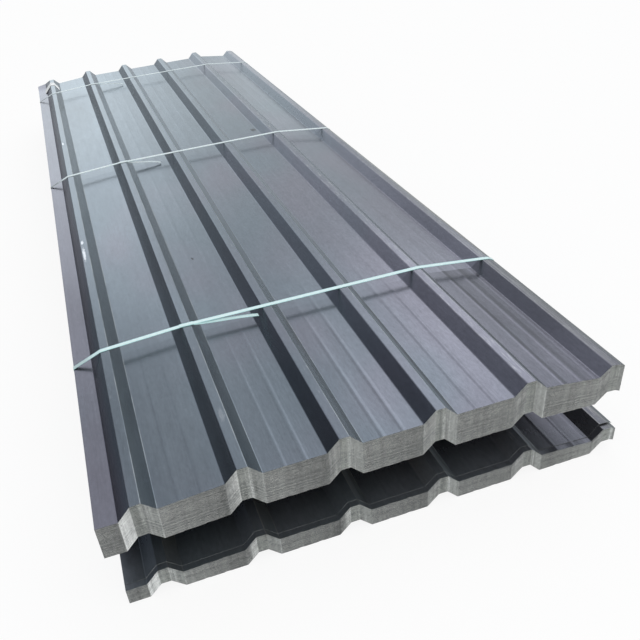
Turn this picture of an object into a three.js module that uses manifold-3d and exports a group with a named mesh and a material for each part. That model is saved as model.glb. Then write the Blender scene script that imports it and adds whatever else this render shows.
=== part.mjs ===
// A stack of corrugated roofing sheets: two packs of nested trapezoidal sheets, one on top of the
// other. The upper pack is held by three plastic straps and is carried on three short timber
// bearers, which stand on the ribs of the lower pack. Millimetres, +Z up, sheets running along Y,
// with the origin on the floor under the middle of the stack.

import * as THREE from 'three';
import { mergeVertices } from 'three/addons/utils/BufferGeometryUtils.js';
import ManifoldModule from 'manifold-3d';

// ---- driving dimensions: the sheet ----
const LENGTH = 3330;            // cut length of every sheet
const PITCH = 205;              // from one rib to the next
const RIBS = 6;
const RIB_DEPTH = 27.5;
const RIB_FOOT = 74;            // width of a rib at the pan
const RIB_CREST = 21;           // width of the flat on top of a rib
const LEFT_FLAT = 43.5;         // flat strip outside the first rib
const LIP_WIDTH = 12;           // the last rib has no outer web, only a lip that turns down
const LIP_DROP = 5;
const STIFFENERS_PER_PAN = 2;
const STIFFENER_FOOT = 14;
const STIFFENER_CREST = 6;
const STIFFENER_DEPTH = 1.0;
const BEND_RADIUS = 3;          // of the bends at the foot and crest of a rib
const GAUGE = 0.5;              // thickness of the steel

// ---- driving dimensions: the packs ----
const NEST_PITCH = 0.76;        // height that each nested sheet adds
const UPPER_SHEETS = 110;
const LOWER_SHEETS = 62;
const LOWER_SHIFT = 16;         // the lower pack lies this far to the right of the upper one
const LOWER_SETBACK = 4;        // and this far back from its near end
const LOWER_TOP_SETBACK = 15;   // its top sheet has slid back from its near end
const TOP_SHEET_SEAT = 1.0;     // top face of a top sheet above the top face of the pack under it
const GAP_CUTS_UPPER = 8;       // gaps between sheets that are cut into a pack's faces
const GAP_CUTS_LOWER = 4;
const GAP_HEIGHT = 0.4;
const GAP_INSET = 3;            // how far a gap runs in from the faces

// How far the edge ribs hang below the middle of the pack, as [left, right], at four levels.
const DROOP = {
  floor: [0, 0],
  lowerTop: [7, 12],
  upperUnderside: [13, 13],
  upperTop: [16, 28],
};

// ---- driving dimensions: bearers and straps ----
const BEARER_HEIGHT = 90;
const BEARER_WIDTH = 90;
const BEARER_END_INSET = 4.5;   // a bearer ends this far inside the feet of the ribs over its ends
const BEARER_FROM_END = 400;    // the near and far bearers; the third is at the middle
const STRAP_WIDTH = 13;
const STRAP_THICKNESS = 0.9;
const STRAP_WELD = 34;          // length over which the two ends of a strap are welded together
const STRAP_NEAR_FROM_END = 524;
const STRAP_PAST_MIDDLE = 91;
const STRAP_FAR_FROM_END = 305;
const CLEARANCE = 0.3;          // between pieces that rest on each other

// The free end of each strap: how far it reaches past the axis of the second rib, how high above
// the pan it ends, and by how many degrees it is skewed towards the near end.
const TAILS = {
  near: { reach: 180, endHeight: 15, skew: 5 },
  middle: { reach: 141, endHeight: 5, skew: 8 },
  far: { reach: 154, endHeight: 6, skew: 5 },
};

// ---- sizes that follow ----
const PAN = PITCH - RIB_FOOT;
const UPPER_HEIGHT = UPPER_SHEETS * NEST_PITCH;
const LOWER_TOP = LOWER_SHEETS * NEST_PITCH;             // level of the lower pack's pans
const BEARER_BOTTOM = LOWER_TOP + RIB_DEPTH + CLEARANCE;
const UPPER_UNDERSIDE = BEARER_BOTTOM + BEARER_HEIGHT + CLEARANCE;
const UPPER_TOP = UPPER_UNDERSIDE + UPPER_HEIGHT;        // level of the upper pack's pans
const UPPER_CREST = UPPER_TOP + RIB_DEPTH;
const SHEET_LEFT = -RIB_FOOT / 2 - LEFT_FLAT;            // measured from the axis of the first rib
const SHEET_RIGHT = (RIBS - 1) * PITCH + RIB_CREST / 2 + LIP_WIDTH;
const SAG_LEFT = PITCH - RIB_FOOT / 2;                   // the droop starts at the second rib's foot
const SAG_RIGHT = (RIBS - 2) * PITCH + RIB_FOOT / 2;     // and at the last but one's
const WELD_AXIS = PITCH;                                 // the straps are welded on the second rib
const NEAR_END = -LENGTH / 2;
const FAR_END = LENGTH / 2;

const COLOURS = {
  sheet: { color: 0x6f7885, roughness: 0.35, metalness: 0.3 },
  pack: { color: 0x85888a, roughness: 0.5, metalness: 0.6 },
  strap: { color: 0xd8f6f0, roughness: 0.35, metalness: 0 },
  timber: { color: 0xb08d62, roughness: 0.8, metalness: 0 },
};

// ---- the sheet's section, as points (x, height) from the left edge to the right one ----
const point = (x, y) => new THREE.Vector2(x, y);

// One rib from foot to foot, or from foot to lip at the sheet's right edge.
function rib(index, bent) {
  const axis = index * PITCH;
  const corners = [
    point(axis - PITCH / 2, 0),
    point(axis - RIB_FOOT / 2, 0),
    point(axis - RIB_CREST / 2, RIB_DEPTH),
    point(axis + RIB_CREST / 2, RIB_DEPTH),
  ];
  if (index === RIBS - 1) {
    corners.push(point(SHEET_RIGHT, RIB_DEPTH - LIP_DROP));
    return [...bends(corners, bent), corners.at(-1)];
  }
  corners.push(point(axis + RIB_FOOT / 2, 0), point(axis + PITCH / 2, 0));
  return bends(corners, bent);
}

// The corners between the first and last point, as they are or turned into smooth bends.
function bends(corners, bent) {
  if (!bent) return corners.slice(1, -1);
  return corners.slice(1, -1).flatMap((corner, i) => {
    const before = corners[i].clone().sub(corner).normalize();
    const after = corners[i + 2].clone().sub(corner).normalize();
    const reach = BEND_RADIUS / Math.tan(before.angleTo(after) / 2);
    const start = corner.clone().addScaledVector(before, reach);
    const end = corner.clone().addScaledVector(after, reach);
    return new THREE.QuadraticBezierCurve(start, corner, end).getPoints(2);
  });
}

// The shallow ribs that share a pan out evenly.
function stiffeners(panStart) {
  const points = [];
  for (let i = 1; i <= STIFFENERS_PER_PAN; i += 1) {
    const axis = panStart + (PAN * i) / (STIFFENERS_PER_PAN + 1);
    points.push(point(axis - STIFFENER_FOOT / 2, 0));
    points.push(point(axis - STIFFENER_CREST / 2, STIFFENER_DEPTH));
    points.push(point(axis + STIFFENER_CREST / 2, STIFFENER_DEPTH));
    points.push(point(axis + STIFFENER_FOOT / 2, 0));
  }
  return points;
}

function sheetLine({ bent, stiffened }) {
  const line = [point(SHEET_LEFT, 0)];
  for (let index = 0; index < RIBS; index += 1) {
    line.push(...rib(index, bent));
    if (stiffened && index < RIBS - 1) line.push(...stiffeners(index * PITCH + RIB_FOOT / 2));
  }
  return line;
}

// The edges hang down evenly over one pitch outside the bearers, and run level outside that.
function droopAt(x, [left, right]) {
  const past = x < SAG_LEFT ? SAG_LEFT - x : x - SAG_RIGHT;
  return (x < SAG_LEFT ? left : right) * THREE.MathUtils.clamp(past / PITCH, 0, 1);
}

// A section line lifted to a level and bent down at its edges.
const atLevel = (line, level, droop) => line.map((p) => point(p.x, p.y + level - droopAt(p.x, droop)));

const between = (low, high, share) => low.map((p, i) => p.clone().lerp(high[i], share));

// The line moved down square to itself, with mitred corners.
function thicken(line, thickness) {
  const normals = line.slice(1).map((p, i) => {
    const run = p.clone().sub(line[i]).normalize();
    return point(run.y, -run.x);
  });
  return line.map((p, i) => {
    const before = normals[Math.max(0, i - 1)];
    const after = normals[Math.min(normals.length - 1, i)];
    const mitre = before.clone().add(after).normalize();
    return p.clone().addScaledVector(mitre, thickness / mitre.dot(after));
  });
}

// A closed outline in the XZ plane drawn out along Y from start.
function drawOut(outline, start, length, hole) {
  const shape = new THREE.Shape(outline);
  if (hole) shape.holes.push(new THREE.Path(hole));
  const geometry = new THREE.ExtrudeGeometry(shape, { depth: length, bevelEnabled: false });
  return geometry.rotateX(Math.PI / 2).translate(0, start + length, 0);
}

// ---- joins and cuts ----
const wasm = await ManifoldModule();
wasm.setup();

function toSolid(geometry) {
  const bare = geometry.clone();
  bare.deleteAttribute('normal');
  bare.deleteAttribute('uv');
  const merged = mergeVertices(bare, 1e-4);
  return new wasm.Manifold(new wasm.Mesh({
    numProp: 3,
    vertProperties: Float32Array.from(merged.attributes.position.array),
    triVerts: Uint32Array.from(merged.index.array),
  }));
}

function toGeometry(solid) {
  const mesh = solid.getMesh();
  const geometry = new THREE.BufferGeometry();
  geometry.setAttribute('position', new THREE.BufferAttribute(mesh.vertProperties, 3));
  geometry.setIndex(new THREE.BufferAttribute(mesh.triVerts, 1));
  geometry.computeVertexNormals();
  return geometry;
}

// ---- pieces ----
const stack = new THREE.Group();

function addPiece(name, geometry, look) {
  const piece = new THREE.Mesh(geometry, new THREE.MeshStandardMaterial(look));
  piece.name = name;
  stack.add(piece);
  return piece;
}

const faceLine = sheetLine({ bent: true, stiffened: true });
const gapLine = sheetLine({ bent: false, stiffened: false });

// The part of a pack that the gaps don't reach.
function packCore(start, topLevel) {
  const top = topLevel + RIB_DEPTH;
  const width = SHEET_RIGHT - SHEET_LEFT - 2 * GAP_INSET;
  const core = new THREE.BoxGeometry(width, LENGTH - 2 * GAP_INSET, 2 * top);
  return toSolid(core.translate((SHEET_LEFT + SHEET_RIGHT) / 2, start + LENGTH / 2, 0));
}

// One gap, as a slab that runs out of the pack all round.
function gapSlab(line, start) {
  const over = line.map((p) => p.clone());
  over[0].x -= GAP_INSET;
  over.at(-1).x += GAP_INSET;
  const under = over.map((p) => point(p.x, p.y - GAP_HEIGHT));
  return toSolid(drawOut([...over, ...under.reverse()], start - GAP_INSET, LENGTH + 2 * GAP_INSET));
}

// The nested sheets of a pack as one solid, with some of the gaps between them cut into its ends
// and edges, and the top sheet as a piece of its own.
function addPack({ name, underLevel, topLevel, underDroop, topDroop, start, topStart, gapCuts, shift }) {
  const seat = topLevel - TOP_SHEET_SEAT;
  const outline = [
    ...atLevel(faceLine, seat, topDroop),
    ...atLevel(faceLine, underLevel, underDroop).reverse(),
  ];
  const lowest = atLevel(gapLine, underLevel, underDroop);
  const highest = atLevel(gapLine, seat, topDroop);
  const core = packCore(start, topLevel);
  let body = toSolid(drawOut(outline, start, LENGTH));
  for (let cut = 1; cut <= gapCuts; cut += 1) {
    const gap = gapSlab(between(lowest, highest, cut / (gapCuts + 1)), start);
    body = body.subtract(gap.subtract(core));
  }
  addPiece(`${name}_sheets`, toGeometry(body), COLOURS.pack).position.x = shift;

  const top = atLevel(faceLine, topLevel, topDroop);
  const topSheet = drawOut([...top, ...thicken(top, GAUGE).reverse()], topStart, LENGTH);
  addPiece(`${name}_top_sheet`, topSheet, COLOURS.sheet).position.x = shift;
}

addPack({
  name: 'lower', underLevel: 0, topLevel: LOWER_TOP,
  underDroop: DROOP.floor, topDroop: DROOP.lowerTop,
  start: NEAR_END + LOWER_SETBACK, topStart: NEAR_END + LOWER_SETBACK + LOWER_TOP_SETBACK,
  gapCuts: GAP_CUTS_LOWER, shift: LOWER_SHIFT,
});
addPack({
  name: 'upper', underLevel: UPPER_UNDERSIDE, topLevel: UPPER_TOP,
  underDroop: DROOP.upperUnderside, topDroop: DROOP.upperTop,
  start: NEAR_END, topStart: NEAR_END,
  gapCuts: GAP_CUTS_UPPER, shift: 0,
});

// ---- bearers ----
function addBearer(name, y) {
  const length = SAG_RIGHT - SAG_LEFT - 2 * BEARER_END_INSET;
  const bearer = addPiece(`bearer_${name}`,
    new THREE.BoxGeometry(length, BEARER_WIDTH, BEARER_HEIGHT), COLOURS.timber);
  bearer.position.set((SAG_LEFT + SAG_RIGHT) / 2, y, BEARER_BOTTOM + BEARER_HEIGHT / 2);
}

addBearer('near', NEAR_END + BEARER_FROM_END);
addBearer('middle', 0);
addBearer('far', FAR_END - BEARER_FROM_END);

// ---- straps ----
// A tight strap lies on the convex hull of the pack's section.
function hull(points) {
  const sorted = [...points].sort((a, b) => a.x - b.x || a.y - b.y);
  const turn = (a, b, c) => b.clone().sub(a).cross(c.clone().sub(a));
  const half = (list) => {
    const kept = [];
    for (const p of list) {
      while (kept.length > 1 && turn(kept.at(-2), kept.at(-1), p) <= 1e-6) kept.pop();
      kept.push(p);
    }
    return kept.slice(0, -1);
  };
  return [...half(sorted), ...half(sorted.reverse())];
}

// A closed convex outline moved outwards.
function outwards(loop, distance) {
  return loop.map((p, i) => {
    const before = p.clone().sub(loop.at(i - 1)).normalize();
    const after = loop[(i + 1) % loop.length].clone().sub(p).normalize();
    const normal = point(before.y + after.y, -before.x - after.x).normalize();
    const square = normal.x * after.y - normal.y * after.x;
    return p.clone().addScaledVector(normal, distance / square);
  });
}

const upperTopLine = atLevel(faceLine, UPPER_TOP, DROOP.upperTop);
const upperUnderLine = atLevel(faceLine, UPPER_UNDERSIDE, DROOP.upperUnderside);
const packHull = hull([...upperTopLine, ...upperUnderLine]);
const strapInside = outwards(packHull, CLEARANCE);
const strapOutside = outwards(packHull, CLEARANCE + STRAP_THICKNESS);
const STRAP_TOP = UPPER_CREST + CLEARANCE + STRAP_THICKNESS;

// The outer end of a strap lies on the inner one over the weld.
function weldOutline() {
  const left = WELD_AXIS - STRAP_WELD / 2;
  const right = WELD_AXIS + STRAP_WELD / 2;
  const inside = STRAP_TOP - STRAP_THICKNESS / 2;
  const outside = STRAP_TOP + STRAP_THICKNESS;
  return [point(left, inside), point(right, inside), point(right, outside), point(left, outside)];
}

// The inner end comes out under the strap where the weld ends, and falls away towards the pan.
function tailOutline({ reach, endHeight }) {
  const start = point(WELD_AXIS + STRAP_WELD / 2, STRAP_TOP - STRAP_THICKNESS / 2);
  const end = point(WELD_AXIS + reach, UPPER_TOP + endHeight);
  const path = new THREE.CubicBezierCurve(
    start,
    point(THREE.MathUtils.lerp(start.x, end.x, 0.2), (start.y + end.y) / 2),
    point(THREE.MathUtils.lerp(start.x, end.x, 0.7), THREE.MathUtils.lerp(start.y, end.y, 0.4)),
    end);
  const centre = path.getPoints(12);
  const under = thicken(centre, STRAP_THICKNESS / 2);
  const over = thicken(centre, -STRAP_THICKNESS / 2);
  return [...over, ...under.reverse()];
}

function addStrap(name, y) {
  const start = y - STRAP_WIDTH / 2;
  const loop = toSolid(drawOut(strapOutside, start, STRAP_WIDTH, strapInside));
  const weld = toSolid(drawOut(weldOutline(), start, STRAP_WIDTH));
  const tail = drawOut(tailOutline(TAILS[name]), -STRAP_WIDTH / 2, STRAP_WIDTH);
  tail.translate(-WELD_AXIS, 0, 0);
  tail.rotateZ(-THREE.MathUtils.degToRad(TAILS[name].skew));
  tail.translate(WELD_AXIS, y, 0);
  addPiece(`strap_${name}`, toGeometry(loop.add(weld).add(toSolid(tail))), COLOURS.strap);
}

addStrap('near', NEAR_END + STRAP_NEAR_FROM_END);
addStrap('middle', STRAP_PAST_MIDDLE);
addStrap('far', FAR_END - STRAP_FAR_FROM_END);

// The origin goes under the middle of the finished stack.
const extent = new THREE.Box3().setFromObject(stack);
const middle = extent.getCenter(new THREE.Vector3());
stack.position.set(-middle.x, -middle.y, -extent.min.z);

export default stack;
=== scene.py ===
"""The looks of a stack of corrugated roofing sheets: two packs of nested trapezoidal sheets, the
upper one strapped and carried on timber bearers. Metres, in the part's own frame: +X across the
ribs, +Y along the sheets, +Z up."""
import math
import bmesh
import bpy
from mathutils import Matrix, Vector, noise
from mathutils.geometry import convex_hull_2d, interpolate_bezier


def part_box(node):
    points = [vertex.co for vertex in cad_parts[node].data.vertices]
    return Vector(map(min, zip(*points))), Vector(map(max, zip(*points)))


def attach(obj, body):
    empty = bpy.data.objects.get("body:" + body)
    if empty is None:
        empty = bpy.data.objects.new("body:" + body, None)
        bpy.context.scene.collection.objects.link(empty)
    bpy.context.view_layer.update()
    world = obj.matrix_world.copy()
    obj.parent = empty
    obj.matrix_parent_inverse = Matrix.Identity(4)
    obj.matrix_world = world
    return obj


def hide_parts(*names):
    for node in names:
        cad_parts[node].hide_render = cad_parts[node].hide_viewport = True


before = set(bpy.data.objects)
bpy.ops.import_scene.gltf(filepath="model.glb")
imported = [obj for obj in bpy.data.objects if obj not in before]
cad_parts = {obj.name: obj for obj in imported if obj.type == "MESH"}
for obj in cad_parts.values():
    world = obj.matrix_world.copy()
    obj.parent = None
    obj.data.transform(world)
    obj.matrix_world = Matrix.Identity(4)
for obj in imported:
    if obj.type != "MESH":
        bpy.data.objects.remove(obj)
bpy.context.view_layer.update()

# ---- sizes of the sheets and straps, as in the part ----
MM = 0.001
PITCH = 205 * MM
RIBS = 6
RIB_DEPTH = 27.5 * MM
RIB_FOOT = 74 * MM
RIB_CREST = 21 * MM
LEFT_FLAT = 43.5 * MM
LIP_WIDTH = 12 * MM
LIP_DROP = 5 * MM
STIFFENERS_PER_PAN = 2
STIFFENER_FOOT = 14 * MM
STIFFENER_CREST = 6 * MM
STIFFENER_DEPTH = 1.0 * MM
BEND_RADIUS = 3 * MM
GAUGE = 0.5 * MM
CLEARANCE = 0.3 * MM
TOP_SHEET_SEAT = 1.0 * MM
UPPER_SHEETS = 110
LOWER_SHEETS = 62
LOWER_DROOP = ((0.0, 0.0), (7 * MM, 12 * MM))  # how far the left and the right edge hang, on the
UPPER_DROOP = ((13 * MM, 13 * MM), (16 * MM, 28 * MM))     # lowest sheet and on the topmost one
STRAP_WIDTH = 13 * MM
STRAP_THICKNESS = 0.9 * MM
STRAP_WELD = 34 * MM
TAILS = {                    # reach past the weld's axis, height of the end, degrees askew
    "near": (180 * MM, 15 * MM, 5),
    "middle": (141 * MM, 5 * MM, 8),
    "far": (154 * MM, 6 * MM, 5),
}

# ---- sizes that are only seen ----
STIFFENER_SOFT = 0.60        # share of its depth that shows before the near strap
STIFFENER_FAINT = 0.2        # and past it
STIFFENER_STEPS = 10         # across one on a topmost sheet
FADE_REACH = 260 * MM        # over which the stiffeners grow faint
NESTED = (1, 2, 0.0)         # runs along a sheet, steps in a bend, and how far beside a bend its
TOPMOST = (60, 4, 1.2 * MM)  # shading ends
STAGGER = 0.5 * MM           # how far the ends of nested sheets stand out at most
LIP_LIFT = 3.5 * MM          # the lower top sheet's near right corner stands off the pack
LIP_LIFT_REACH = 420 * MM
CURL = 15 * MM               # the upper one's far left corner is bent up
CURL_REACH = 130 * MM
CURL_LOST = 0.55             # share of it that is lost towards the left edge
STRAP_EDGE = 0.25 * MM       # how far its edges are rounded
STRAP_SKEW = {               # how far nearer each lies at the first rib, and per metre to the right
    "near": (-1.5 * MM, 0.0073),
    "middle": (1.0 * MM, 0.0115),
    "far": (4.0 * MM, 0.0125),
}
TAIL_POINTS = 24
TAIL_HANDLES = ((0.2, 0.5), (0.7, 0.4))     # of its curve: shares of the way out and down
STRIP_WIDTH = 66 * MM        # a pale strip folded over the first rib
STRIP_THICKNESS = 0.5 * MM
STRIP_EDGE = 0.1 * MM
STRIP_REACH = (-44 * MM, 31 * MM)
STRIP_FROM_FAR_END = 86 * MM
STRIP_SKEW = (0.9, 2.1)      # how far each leg runs nearer for its reach
STRIP_STAND = 1.2 * MM       # how far it stands off the sheet
STRIP_TENT = 0.3             # share of the rib's depth below which it leaves the sheet
BEARER_WAVER = 2.5 * MM      # how far its sides are out of true
BEARER_CORNER = 2.5 * MM
BEARER_CUTS = 11
BEARER_APART = 0.9           # how far along the same log each next one was cut

# ---- marks on the sheets, painted light and shade among them, and their sag as bumps ----
NEAR_END_DUST_AND_LIGHT = 0.30                 # dust and painted light behind the lower pack's near end, and how far in it lies
DUST_AND_LIGHT_REACH = 130 * MM
RUB_MARKS = (                # on crests, in mm: x and y, half the width and the length; the strength
    (-495.5, 485, 4.5, 20, 0.6),
    (-494.0, -528, 5, 17, 0.6),
    (-494.5, -610, 5, 60, 0.55),
    (-286.0, -1512, 8, 26, 0.12),
)
STAINS = (                   # dark spots on pans, likewise
    (276, 228, 15, 23),
    (-194.6, -769, 5, 9),
)
# painted shade and highlight along lines in the last pan
CREASE_SHADING = (                  # in the last pan: from the nearest rib, inner and outer half width, tone
    (84 * MM, 2 * MM, 8 * MM, -0.26),
    (-71 * MM, 2 * MM, 8 * MM, -0.18),
    (-49 * MM, 1 * MM, 5 * MM, 0.30),
)
SAG_REACH = 540 * MM         # between the near and the middle strap the sheets' normals tilt as if they hung a little
SAG_NEAR = 4.0 * MM
SAG_MIDDLE = 7.1 * MM
FLATTENED_RIB = 5            # its left web's normals tilt as if it were pulled a little flatter
FLATTENED = 3.7 * MM

# ---- what follows from the sizes ----
HALF_FOOT = RIB_FOOT / 2
HALF_CREST = RIB_CREST / 2
WELD_AXIS = PITCH
PAN = PITCH - RIB_FOOT
WEB = HALF_FOOT - HALF_CREST
WEB_AXIS = (HALF_FOOT + HALF_CREST) / 2
LAST_RIB = (RIBS - 1) * PITCH
LIP_END = HALF_CREST + LIP_WIDTH
SHEET_LEFT = -HALF_FOOT - LEFT_FLAT
DROOPS_BEFORE = PITCH - HALF_FOOT       # where the left edge starts to hang, and the right one
DROOPS_AFTER = LAST_RIB - PITCH + HALF_FOOT

# ---- places, from the frame ----
UPPER_LOW, UPPER_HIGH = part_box("upper_top_sheet")
LOWER_LOW, LOWER_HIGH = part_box("lower_top_sheet")
UPPER_FIRST_RIB = UPPER_LOW.x - SHEET_LEFT
LOWER_FIRST_RIB = LOWER_LOW.x - SHEET_LEFT
UPPER_TOP = UPPER_HIGH.z - RIB_DEPTH
LOWER_TOP = LOWER_HIGH.z - RIB_DEPTH
UPPER_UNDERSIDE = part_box("bearer_near")[1].z + CLEARANCE
STRAP_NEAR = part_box("strap_near")[1].y - STRAP_WIDTH / 2
STRAP_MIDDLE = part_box("strap_middle")[1].y - STRAP_WIDTH / 2

# ---- the camera ----
CAMERA_PLACE = Vector((-422.1, -2628.4, 1228.0)) * MM
CAMERA_HEADING = 13.80       # degrees from +Y towards +X
CAMERA_DIP = 33.86           # degrees below the horizon
CAMERA_ROLL = -6.705
CAMERA_LENS = 40.108
CAMERA_SHIFT = (0.0675, 0.00864)


def limited(value):
    """The number, held between 0 and 1."""
    return min(1, max(0, value))


def new_object(name, data):
    made = bpy.data.objects.new(name, data)
    bpy.context.scene.collection.objects.link(made)
    return made


# ---- node trees ----
def math_method(operation, reflected=False):
    """A method that adds one Math node; reflected, it has the other value first."""
    def method(value, *others):
        values = [*others, value] if reflected else [value, *others]
        return value.nodes.add("ShaderNodeMath", values, operation=operation)
    return method


class Value:
    """One socket of a node tree. Arithmetic on it adds the Math nodes."""

    def __init__(self, nodes, socket):
        self.nodes = nodes
        self.socket = socket

    __add__ = math_method("ADD")
    __radd__ = math_method("ADD", reflected=True)
    __sub__ = math_method("SUBTRACT")
    __rsub__ = math_method("SUBTRACT", reflected=True)
    __mul__ = math_method("MULTIPLY")
    __rmul__ = math_method("MULTIPLY", reflected=True)
    __truediv__ = math_method("DIVIDE")
    __pow__ = math_method("POWER")
    __abs__ = math_method("ABSOLUTE")
    __gt__ = math_method("GREATER_THAN")
    __lt__ = math_method("LESS_THAN")
    rounded = math_method("ROUND")
    sine = math_method("SINE")
    at_most = math_method("MINIMUM")
    at_least = math_method("MAXIMUM")

    def limited(self):
        return self.at_least(0).at_most(1)

    def step(self, start, end):
        """0 at the start and 1 at the end, with a smooth change between. Either may be the larger."""
        return self.nodes.add("ShaderNodeMapRange", {"Value": self, "From Min": start, "From Max": end},
                              interpolation_type="SMOOTHSTEP")

    def near(self, place, inside, outside):
        """1 within the first distance of a place and 0 beyond the second."""
        return abs(self - place).step(outside, inside)


class Nodes:
    """Adds nodes to one node tree."""

    def __init__(self, tree):
        self.tree = tree
        tree.nodes.clear()

    def add(self, kind, values=(), out=0, **settings):
        """A new node with its settings, then its sockets' values or links; returns one output."""
        node = self.tree.nodes.new(kind)
        for name, setting in settings.items():
            setattr(node, name, setting)
        pairs = values.items() if isinstance(values, dict) else enumerate(values)
        for key, value in pairs:
            if isinstance(value, Value):
                self.tree.links.new(value.socket, node.inputs[key])
            else:
                node.inputs[key].default_value = value
        return Value(self, node.outputs[out]) if node.outputs else node

    def mix(self, share, first, second):
        """A colour between first and second."""
        first = first if isinstance(first, Value) else (*first, 1.0)
        second = second if isinstance(second, Value) else (*second, 1.0)
        return self.add("ShaderNodeMix", {0: share, 6: first, 7: second}, out=2, data_type="RGBA")

    def scaled(self, colour, factor):
        """A colour made brighter or darker."""
        return self.add("ShaderNodeVectorMath", {0: colour, "Scale": factor}, operation="SCALE")

    def attribute(self, name, out="Fac"):
        return self.add("ShaderNodeAttribute", out=out, attribute_name=name)

    def here(self):
        return self.add("ShaderNodeTexCoord", out="Object")

    def parts(self, vector, names="XYZ"):
        """The parts of a vector that are named, as values."""
        split = self.add("ShaderNodeSeparateXYZ", [vector]).socket.node
        return [Value(self, split.outputs[name]) for name in names]

    def stretched(self, vector, scale, **more):
        """A vector scaled apart along each axis."""
        return self.add("ShaderNodeMapping", {"Vector": vector, "Scale": scale, **more})

    def noise(self, place, detail=2.0, roughness=0.5):
        return self.add("ShaderNodeTexNoise",
                        {"Vector": place, "Scale": 1.0, "Detail": detail, "Roughness": roughness})

    def pattern(self, name, shift=(0, 0, 0)):
        """One of the patterns, laid over the object."""
        scale, detail, roughness = PATTERNS[name]
        return self.noise(self.stretched(self.here(), scale, Location=shift), detail, roughness)

    def bump(self, height, distance, strength, **below):
        """A bumped normal, on the normal below if one is given."""
        return self.add("ShaderNodeBump",
                        {"Height": height, "Distance": distance, "Strength": strength, **below})

    def stored(self, geometry, name, value, domain="POINT"):
        """The geometry with a value kept on it as an attribute."""
        return self.add("GeometryNodeStoreNamedAttribute",
                        {"Geometry": geometry, "Name": name, "Value": value},
                        data_type="FLOAT", domain=domain)


def geometry_tree(name, inputs, output):
    """A Geometry Nodes tree with one output, its nodes, and its inputs as values."""
    tree = bpy.data.node_groups.new(name, "GeometryNodeTree")
    nodes = Nodes(tree)
    for key, kind in inputs.items():
        tree.interface.new_socket(key, in_out="INPUT", socket_type=f"NodeSocket{kind}")
    tree.interface.new_socket(output, in_out="OUTPUT", socket_type="NodeSocketGeometry")
    given = nodes.add("NodeGroupInput").socket.node
    return tree, nodes, {key: Value(nodes, given.outputs[key]) for key in inputs}


def processed(piece, tree, **settings):
    """Runs the tree on the piece with these inputs, and keeps the result as its plain mesh."""
    modifier = piece.modifiers.new("nodes", "NODES")
    modifier.node_group = tree
    sockets = {item.name.replace(" ", "_"): item.identifier
               for item in tree.interface.items_tree if item.in_out == "INPUT"}
    for name, setting in settings.items():
        modifier[sockets[name]] = setting
    evaluated = piece.evaluated_get(bpy.context.evaluated_depsgraph_get())
    mesh = bpy.data.meshes.new_from_object(evaluated)
    piece.modifiers.remove(modifier)
    piece.data = mesh
    return piece


# ---- materials ----
SLATE_TEAL = (0.147, 0.175, 0.200)
SLATE_LILAC = (0.176, 0.176, 0.208)
# a light grey of dust, which also stands in for light on the right webs and near ends
DUST_AND_LIGHT_GREY = (0.338, 0.387, 0.425)
STEEL = (0.62, 0.63, 0.61)
WORN_LIP = (0.47, 0.46, 0.43)
RUBBED_WHITE = (0.85, 0.86, 0.88)
COVERED_SHADE = 0.60         # painted shade: how dark the paint of nested sheets is
LOWER_SHADE = 0.62           # and of the lower top sheet
LOWER_EDGE_SHADE = 1.16      # painted light: how much lighter the cut ends of the lower nested sheets are
TOP_EDGE_SHADE = 0.62       # painted shade: how dark the lower top sheet's cut ends are
# tones of the sheet ends by part: painted light and shade on one steel; EDGE_BRIGHT is painted light and
# highlight
EDGE_PAN = (0.38, 0.39, 0.38)
EDGE_CREST = (0.42, 0.44, 0.42)
EDGE_RIGHT = (0.37, 0.385, 0.375)
EDGE_LEFT = (0.39, 0.40, 0.39)
EDGE_BRIGHT = (0.76, 0.78, 0.77)
BACK_DARK = (0.26, 0.28, 0.31)
BACK_LIGHT = (0.33, 0.35, 0.37)
MINT_RIM = (0.53, 0.84, 0.84)
MINT_HIGHLIGHT = (0.82, 0.98, 0.99)
MILKY_DARK = (0.74, 0.86, 0.88)
MILKY_LIGHT = (0.86, 0.93, 0.95)
STRIP_DARK = (0.92, 0.95, 0.95)
STRIP_LIGHT = (0.98, 0.99, 0.99)
WOOD_EARLY = (0.34, 0.27, 0.19)
WOOD_LATE = (0.22, 0.16, 0.11)
WOOD_GREY = (0.27, 0.26, 0.24)
GROWTH_RING = 5.5 * MM
DIAMOND = 2 * MM
TURN = 2 * math.pi
PATTERNS = {                 # how fine along x, y and z, how detailed, how rough
    "lines": ((420, 1.6, 420), 3.0, 0.6),
    "cloud": ((5.0, 1.3, 5.0), 3.0, 0.55),
    "grains": ((160, 60, 160), 4.0, 0.7),
    "mottle": ((70, 16, 70), 3.0, 0.75),
    "drift": ((1.4, 0.5, 1.4), 1.0, 0.5),
    "blotch": ((4.5, 2.6, 4.5), 1.0, 0.5),
    "worn": ((42, 7, 42), 2.0, 0.7),
    "wear": ((30, 9, 30), 3.0, 0.6),
    "rubs": ((220, 22, 220), 3.0, 0.65),
    "waves": ((9.0, 2.2, 9.0), 1.0, 0.5),
    "ragged": ((320, 110, 320), 3.0, 0.7),
    "specks": ((170, 1, 150), 3.0, 0.75),
    "drag": ((115, 1, 3.0), 3.0, 0.6),
    "broad drag": ((60, 1, 4.0), 2.0, 0.5),
    "patches": ((14, 1, 22), 3.0, 0.6),
    "back cloud": ((12, 3, 12), 3.0, 0.5),
    "back lines": ((300, 2, 300), 2.0, 0.5),
    "strap wear": ((60, 300, 60), 3.0, 0.5),
    "film creases": ((150, 500, 150), 4.0, 0.7),
    "grey skin": ((6, 6, 6), 3.0, 0.5),
}


def new_material(name):
    material = bpy.data.materials.new(name)
    material.use_nodes = True
    return material, Nodes(material.node_tree)


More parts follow.
